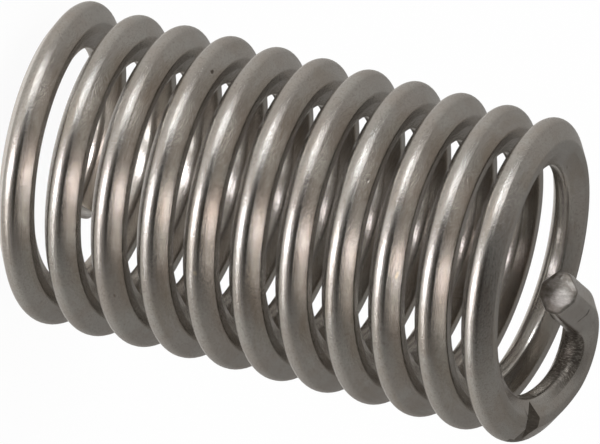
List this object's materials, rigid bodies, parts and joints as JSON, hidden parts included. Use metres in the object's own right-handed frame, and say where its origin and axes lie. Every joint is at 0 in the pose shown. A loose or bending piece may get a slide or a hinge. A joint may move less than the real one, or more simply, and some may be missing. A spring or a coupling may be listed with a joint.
{
  "type": "helical thread insert",
  "caption": "Coil of diamond-section stainless wire with a notched driving tang, wound into a tapped hole to line it with a screw thread.",
  "frame": {"origin": "on the coil's axis, at the level of the lowest point of the open first coil", "axes": "+Z along the coil's axis, from the open first coil up to the tang; -Y is the side the tang's cut end is seen from"},
  "size_m": [0.0076, 0.0076, 0.0142],
  "materials": {
    "insert_wire": "satin, rolled stainless steel wire"
  },
  "bodies": {
    "root": {"insert_wire": "insert_wire"}
  },
  "joints": []
}
